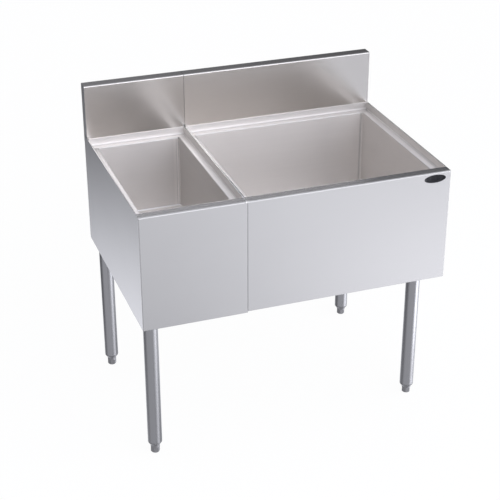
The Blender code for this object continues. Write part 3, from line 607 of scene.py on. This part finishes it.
def rubber_material():
    """Dull black rubber with a fine moulded texture and pale dust."""
    material, tree, shader = new_material("rubber_black")
    place = object_place(tree)
    speck = noise(tree, place, detail=2.0, scale=RUBBER_SPECK_SCALE)
    dust = ramp(tree, noise(tree, place, detail=4.0, scale=RUBBER_DUST_SCALE), RUBBER_DUST_SHARE)
    tree.links.new(tone(tree, dust, RUBBER_BLACK, RUBBER_DUST), shader.inputs["Base Color"])
    tree.links.new(ramp(tree, speck, RUBBER_ROUGHNESS), shader.inputs["Roughness"])
    add_bump(tree, shader, speck, RUBBER_RELIEF, RUBBER_DEPTH)
    return material


def foam_material():
    """Pale insulating foam with fine cells and yellowed patches."""
    material, tree, shader = new_material("insulation_foam")
    place = object_place(tree)
    cells = add_node(tree, "ShaderNodeTexVoronoi", {"Vector": place, "Scale": FOAM_CELL_SCALE})
    patch = ramp(tree, noise(tree, place, detail=4.0, scale=FOAM_PATCH_SCALE), PATCH_SHARE)
    tree.links.new(tone(tree, patch, FOAM_PALE, FOAM_YELLOWED), shader.inputs["Base Color"])
    shader.inputs["Roughness"].default_value = FOAM_ROUGHNESS
    add_bump(tree, shader, cells.outputs["Distance"], FOAM_RELIEF, FOAM_DEPTH)
    return material


def enamel_material():
    """Black enamel of the badge, slightly clouded by polishing."""
    material, tree, shader = new_material("badge_enamel")
    cloud = noise(tree, object_place(tree), detail=3.0, scale=ENAMEL_PATCH_SCALE)
    patch = ramp(tree, cloud, PATCH_SHARE)
    tree.links.new(tone(tree, patch, ENAMEL_BLACK, ENAMEL_CLOUD), shader.inputs["Base Color"])
    tree.links.new(ramp(tree, cloud, ENAMEL_ROUGHNESS), shader.inputs["Roughness"])
    shader.inputs["Specular IOR Level"].default_value = ENAMEL_GLOSS
    return material


def give(name, material):
    """Give a CAD node its material."""
    data = frame["nodes"][name].data
    data.materials.clear()
    data.materials.append(material)


def finish_mesh(name, bm, material, body):
    """Turn a bmesh into a smooth piece that rides on a body."""
    bmesh.ops.remove_doubles(bm, verts=bm.verts, dist=MERGE_DISTANCE)
    bmesh.ops.recalc_face_normals(bm, faces=bm.faces)
    mesh = bpy.data.meshes.new(name)
    bm.to_mesh(mesh)
    bm.free()
    mesh.materials.append(material)
    mesh.shade_smooth()
    mesh.set_sharp_from_angle(angle=math.radians(SMOOTH_ANGLE))
    piece = bpy.data.objects.new(name, mesh)
    bpy.context.scene.collection.objects.link(piece)
    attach(piece, body)
    return piece


def turn(bm, profile, centre):
    """Turn a closed profile of (radius, height) points about a vertical axis."""
    verts = [bm.verts.new((centre.x + radius, centre.y, z)) for radius, z in profile]
    edges = [bm.edges.new((verts[index - 1], verts[index])) for index in range(len(verts))]
    bmesh.ops.spin(
        bm, geom=edges, cent=(centre.x, centre.y, 0), axis=(0, 0, 1), angle=2 * math.pi,
        steps=TUBE_SEGMENTS, use_merge=True)


def make_tube(leg, material):
    """Leg tube with softly broken ends."""
    name = leg + "_leg_tube"
    low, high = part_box(name)
    outer = (high.x - low.x) / 2
    inner = outer - TUBE_WALL
    shoulder = outer - TUBE_END_BREAK
    bm = bmesh.new()
    turn(bm, [
        (inner, low.z), (shoulder, low.z), (outer, low.z + TUBE_END_BREAK),
        (outer, high.z - TUBE_END_BREAK), (shoulder, high.z), (inner, high.z)],
        (low + high) / 2)
    piece = finish_mesh(leg + "_tube_surface", bm, material, "station")
    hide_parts(name)


def badge_loop(bm, width, height, y, centre):
    """One oval of the badge as a ring of vertices."""
    ring = []
    for index in range(BADGE_SEGMENTS):
        angle = 2 * math.pi * index / BADGE_SEGMENTS
        x = centre[0] + width / 2 * math.cos(angle)
        z = centre[1] + height / 2 * math.sin(angle)
        ring.append(bm.verts.new((x, y, z)))
    return ring


def bridge(bm, first, second, material_index):
    """Join two rings of equal count with faces."""
    for index in range(len(first)):
        face = bm.faces.new((first[index - 1], first[index], second[index], second[index - 1]))
        face.material_index = material_index


def make_badge(enamel, rim_metal):
    """Bare oval plate: a thin metal rim round a black enamel field."""
    low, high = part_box("bin_apron")
    centre = (high.x - BADGE_FROM_RIGHT, high.z - BADGE_BELOW_RIM)
    bm = bmesh.new()
    rings = []
    for inwards, share in BADGE_RINGS:
        inset = BADGE_RIM * inwards
        rings.append(badge_loop(
            bm, BADGE_WIDTH - inset, BADGE_HEIGHT - inset, low.y - BADGE_THICKNESS * share, centre))
    for first, second in zip(rings, rings[1:]):
        bridge(bm, first, second, BADGE_RIM_SLOT)
    bm.faces.new(rings[-1])
    back = bm.faces.new(rings[0][::-1])
    back.material_index = BADGE_RIM_SLOT
    piece = finish_mesh("badge_oval", bm, enamel, "station")
    piece.data.materials.append(rim_metal)


def make_finishes():
    """One material for each slot of the CAD nodes."""
    return {
        "stainless_sheet": steel(
            "sheet_brushed", SHEET_COLOUR, roughness=0.26, grain=0.007, haze=0.006, wear=0.015,
            edge=0.0003, painted_light_and_shade=sheet_shade),
        "stainless_liner": steel(
            "liner_satin", LINER_COLOUR, roughness=0.56, wear=0.0, edge=0.001,
            painted_light_and_shade=basin_shade),
        "leg_tube": steel(
            "tube_polished", TUBE_COLOUR, roughness=0.34, long_axis="Z", edge=0.0004,
            painted_light_and_shade=leg_shade),
        "foot_metal": steel(
            "foot_cast", FOOT_COLOUR, roughness=0.40, long_axis="Z", grain=0.06, haze=0.08,
            edge=0.0008),
        "socket_metal": steel(
            "socket_cast", SOCKET_COLOUR, roughness=0.50, long_axis="Z", grain=0.08, haze=0.10,
            edge=0.0008),
        "drain_metal": steel(
            "drain_chrome", DRAIN_COLOUR, roughness=0.16, grain=0.02, haze=0.04, edge=0.0005),
        "fastener": steel(
            "screw_zinc", SCREW_COLOUR, roughness=0.38, long_axis="Z", grain=0.06, edge=0.0003),
        "rubber": rubber_material(),
        "foam": foam_material()}


def dress_station():
    """Give every node its finish and add the finer pieces."""
    finishes = make_finishes()
    for part in frame["record"]["subparts"]:
        give(part["node"], finishes[part["material_slot"]])
    splash = steel(
        "splash_brushed", SPLASH_COLOUR, roughness=0.24, grain=0.007, haze=0.006, wear=0.015,
        edge=0.0003, painted_light_and_shade=splash_shade)
    for module in ("well", "bin"):
        give(module + "_backsplash", splash)
    for leg in ("front_left", "rear_left", "front_right", "rear_right"):
        make_tube(leg, finishes["leg_tube"])
    badge_rim = steel(
        "badge_rim", BADGE_RIM_COLOUR, roughness=0.35, grain=0.03, haze=0.04, edge=0.0003)
    make_badge(enamel_material(), badge_rim)


def make_floor():
    """Pale floor, nearly white to the camera, that casts no shadow and that metals don't mirror."""
    bm = bmesh.new()
    bmesh.ops.create_grid(bm, x_segments=1, y_segments=1, size=FLOOR_SIZE)
    mesh = bpy.data.meshes.new("studio_floor")
    bm.to_mesh(mesh)
    bm.free()
    floor = bpy.data.objects.new("studio_floor", mesh)
    bpy.context.scene.collection.objects.link(floor)
    material = bpy.data.materials.new("pale_floor")
    material.use_nodes = True
    tree = material.node_tree
    tree.nodes.clear()
    pale = add_node(tree, "ShaderNodeBsdfDiffuse", {"Color": FLOOR_COLOUR}).outputs[0]
    white = add_node(tree, "ShaderNodeEmission", {"Color": WHITE, "Strength": 1.0}).outputs[0]
    seen = add_node(tree, "ShaderNodeMixShader", {0: FLOOR_WHITE_SHARE, 1: pale, 2: white})
    eye = add_node(tree, "ShaderNodeLightPath").outputs["Is Camera Ray"]
    mixed = add_node(tree, "ShaderNodeMixShader", {0: eye, 1: pale, 2: seen.outputs[0]})
    add_node(tree, "ShaderNodeOutputMaterial", {"Surface": mixed.outputs[0]})
    floor.data.materials.append(material)
    floor.visible_glossy = False
    floor.visible_shadow = False


def upper_surroundings(tree, x, y, z, behind):
    """Brightness above the horizon: a room that is dim behind the object, and a ceiling."""
    wall = product(tree, [ramp(tree, x, WALL_ACROSS), ramp(tree, z, WALL_UP)])
    room = blend(tree, behind, ramp(tree, x, FRONT_ACROSS, smooth=True), wall)
    ceiling = product(tree, [
        ramp(tree, y, CEILING_BACK, smooth=True), ramp(tree, x, CEILING_LEFT, smooth=True),
        ramp(tree, x, CEILING_RIGHT, smooth=True)])
    return blend(tree, ramp(tree, z, CEILING_SHARE, smooth=True), room, ceiling)


def near_ground(tree, x, z):
    """Brightness below the horizon in front of the object."""
    east = ramp(tree, x, GROUND_ACROSS)
    down = ramp(tree, z, GROUND_UP)
    slope = math_node(tree, "MULTIPLY_ADD", down, GROUND_TWIST, GROUND_TILT)
    near = math_node(tree, "MULTIPLY_ADD", east, slope, GROUND_LEVEL)
    arch = plus(tree, math_node(tree, "MINIMUM", down, ARCH_TOP), ARCH_LIFT)
    arch = product(tree, [arch, east, east])
    near = math_node(tree, "MULTIPLY_ADD", arch, ARCH_DEPTH, near)
    near = math_node(tree, "MAXIMUM", near, ramp(tree, x, GROUND_LEAST))
    near = math_node(tree, "MINIMUM", near, GROUND_MOST)
    band = product(tree, [ramp(tree, z, BAND_UP), ramp(tree, x, BAND_ACROSS)])
    return product(tree, [near, ramp(tree, z, GROUND_LOWEST), plus(tree, band, 1.0)])


def far_ground(tree, x, z):
    """Brightness below the horizon behind the object."""
    across = minus(tree, x, FAR_CENTRE_X)
    far = math_node(tree, "MULTIPLY_ADD", across, FAR_TILT_ACROSS, FAR_LEVEL)
    far = minus(tree, far, product(tree, [minus(tree, z, FAR_CENTRE_Z), FAR_FALL]))
    far = math_node(tree, "MAXIMUM", far, FAR_LEAST)
    return math_node(tree, "MINIMUM", far, FAR_MOST)


def make_world():
    """Soft studio surroundings for light and mirroring, white to the camera."""
    world = bpy.data.worlds.new("studio")
    bpy.context.scene.world = world
    world.use_nodes = True
    tree = world.node_tree
    tree.nodes.clear()
    way = add_node(tree, "ShaderNodeTexCoord").outputs["Generated"]
    x, y, z = split(tree, way)
    behind = ramp(tree, y, BEHIND_SHARE, smooth=True)
    lower = blend(tree, behind, near_ground(tree, x, z), far_ground(tree, x, z))
    upper = upper_surroundings(tree, x, y, z, behind)
    level = blend(tree, ramp(tree, z, UPPER_SHARE, smooth=True), lower, upper)
    panel = add_node(tree, "ShaderNodeVectorMath", {0: way, 1: PANEL_WAY}, operation="DOT_PRODUCT")
    level = plus(tree, level, ramp(tree, panel.outputs["Value"], PANEL_GLOW, smooth=True))
    lit = add_node(tree, "ShaderNodeBackground", {
        "Color": LIGHT_COLOUR + (1,), "Strength": level})
    white = add_node(tree, "ShaderNodeBackground", {"Color": WHITE, "Strength": 1.0})
    eye = add_node(tree, "ShaderNodeLightPath").outputs["Is Camera Ray"]
    mixed = add_node(tree, "ShaderNodeMixShader", {0: eye, 1: lit.outputs[0], 2: white.outputs[0]})
    add_node(tree, "ShaderNodeOutputWorld", {"Surface": mixed.outputs[0]})


def make_softbox():
    """A rectangular soft light that isn't seen directly."""
    data = bpy.data.lights.new("key_softbox", "AREA")
    data.shape = "RECTANGLE"
    data.size = SOFTBOX_WIDTH
    data.size_y = SOFTBOX_HEIGHT
    data.energy = SOFTBOX_POWER
    data.color = LIGHT_COLOUR
    lamp = bpy.data.objects.new("key_softbox", data)
    place = Vector(SOFTBOX_PLACE)
    lamp.location = place
    lamp.rotation_euler = (Vector(SOFTBOX_AIM) - place).to_track_quat("-Z", "Y").to_euler()
    lamp.visible_camera = False
    bpy.context.scene.collection.objects.link(lamp)


def make_camera():
    """Camera at the photograph's angle."""
    data = bpy.data.cameras.new("camera")
    data.lens = CAMERA_LENS
    data.sensor_width = CAMERA_SENSOR
    data.clip_end = CAMERA_REACH
    azimuth = math.radians(CAMERA_AZIMUTH)
    elevation = math.radians(CAMERA_ELEVATION)
    roll = math.radians(CAMERA_ROLL)
    ahead = Vector((
        math.sin(azimuth) * math.cos(elevation), math.cos(azimuth) * math.cos(elevation),
        -math.sin(elevation)))
    right = Vector((math.cos(azimuth), -math.sin(azimuth), 0))
    up = right.cross(ahead)
    right_rolled = right * math.cos(roll) + up * math.sin(roll)
    up_rolled = up * math.cos(roll) - right * math.sin(roll)
    matrix = Matrix((right_rolled, up_rolled, -ahead)).transposed().to_4x4()
    matrix.translation = Vector(CAMERA_PLACE)
    camera = bpy.data.objects.new("camera", data)
    camera.matrix_world = matrix
    bpy.context.scene.collection.objects.link(camera)
    bpy.context.scene.camera = camera


dress_station()
make_floor()
make_world()
make_camera()
make_softbox()
bpy.context.scene.view_settings.view_transform = "Standard"
